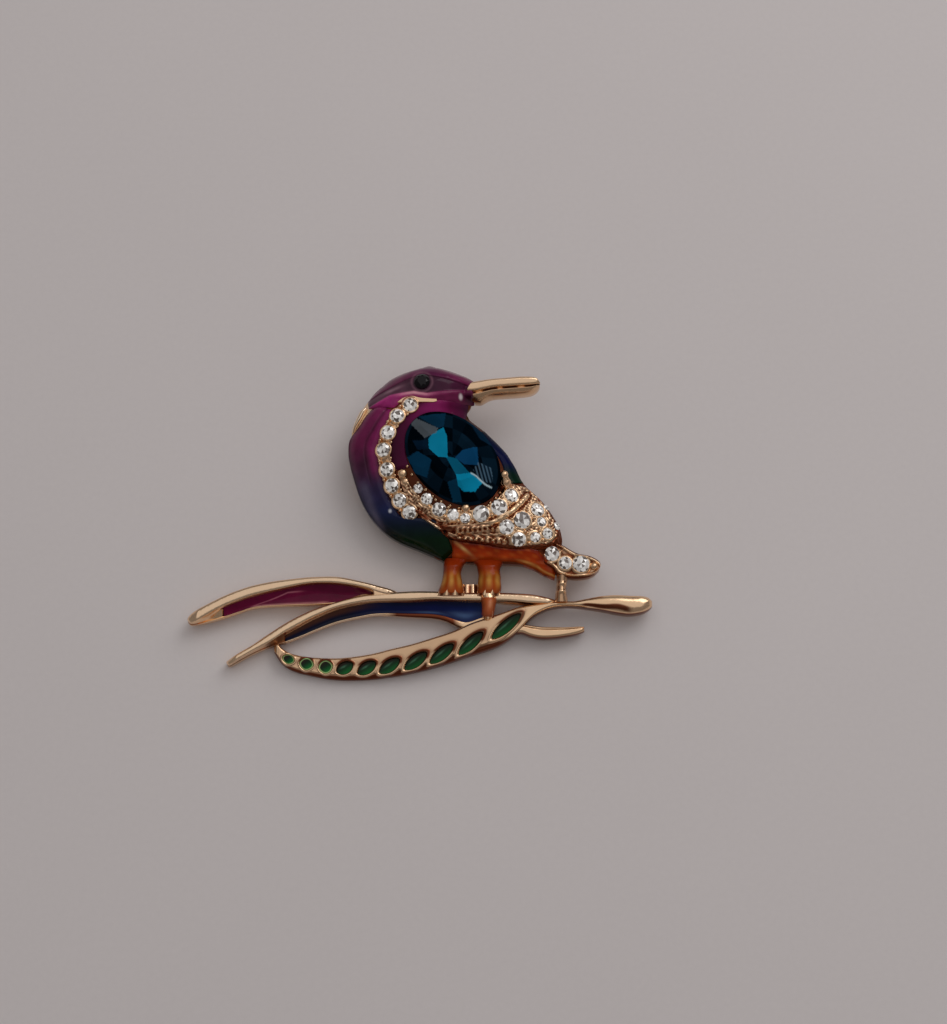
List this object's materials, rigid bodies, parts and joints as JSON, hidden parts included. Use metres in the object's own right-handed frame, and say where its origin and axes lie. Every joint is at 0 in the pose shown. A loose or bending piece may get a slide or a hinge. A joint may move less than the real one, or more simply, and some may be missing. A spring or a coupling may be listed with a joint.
{
  "type": "figural animal brooch",
  "caption": "Cast bird brooch with enamel and faceted stones: a long-beaked bird stands on leafy branches, with a pin across its hollow back.",
  "frame": {"origin": "middle of the base of the bounding box, on the surface that the brooch lies on", "axes": "+X along the brooch from the tip of the left leaf to the end of the branch on the right, +Y from the branches up to the bird's crown, +Z away from the surface, up through the front"},
  "size_m": [0.0576, 0.0395, 0.0098],
  "materials": {
    "gold_plate": "polished gold plating",
    "purple_enamel": "glossy translucent enamel",
    "breast_enamel": "glossy enamel, purple to blue to green",
    "blue_enamel": "glossy enamel",
    "red_enamel": "glossy enamel",
    "orange_enamel": "glossy translucent enamel",
    "green_enamel": "glossy translucent enamel",
    "teal_glass": "faceted, foil-backed",
    "clear_glass": "faceted, foil-backed",
    "black_glass": "faceted, opaque"
  },
  "bodies": {
    "root": {"casting": "gold_plate", "pin_back": "gold_plate", "enamel_head": "purple_enamel", "enamel_breast": "breast_enamel", "enamel_throat": "purple_enamel", "enamel_flank": "blue_enamel", "enamel_belly": "orange_enamel", "enamel_leg_left": "orange_enamel", "enamel_leg_right": "orange_enamel", "enamel_toe": "orange_enamel", "enamel_leaf_red": "red_enamel", "enamel_leaf_blue": "blue_enamel", "enamel_cell_1": "green_enamel", "enamel_cell_2": "green_enamel", "enamel_cell_3": "green_enamel", "enamel_cell_4": "green_enamel", "enamel_cell_5": "green_enamel", "enamel_cell_6": "green_enamel", "enamel_cell_7": "green_enamel", "enamel_cell_8": "green_enamel", "enamel_cell_9": "green_enamel", "enamel_cell_10": "green_enamel", "body_stone": "teal_glass", "eye_stone": "black_glass", "nape_stone": "clear_glass", "collar_stone_1": "clear_glass", "collar_stone_2": "clear_glass", "collar_stone_3": "clear_glass", "collar_stone_4": "clear_glass", "collar_stone_5": "clear_glass", "collar_stone_6": "clear_glass", "collar_stone_7": "clear_glass", "collar_stone_8": "clear_glass", "wing_stone_1": "clear_glass", "wing_stone_2": "clear_glass", "wing_stone_3": "clear_glass", "wing_stone_4": "clear_glass", "wing_stone_5": "clear_glass", "wing_stone_6": "clear_glass", "wing_stone_7": "clear_glass", "wing_stone_8": "clear_glass", "wing_stone_9": "clear_glass", "wing_stone_10": "clear_glass", "wing_stone_11": "clear_glass", "wing_stone_12": "clear_glass", "wing_stone_13": "clear_glass", "wing_stone_14": "clear_glass", "wing_stone_15": "clear_glass", "wing_stone_16": "clear_glass", "wing_stone_17": "clear_glass", "tail_stone_1": "clear_glass", "tail_stone_2": "clear_glass", "tail_stone_3": "clear_glass"}
  },
  "joints": []
}
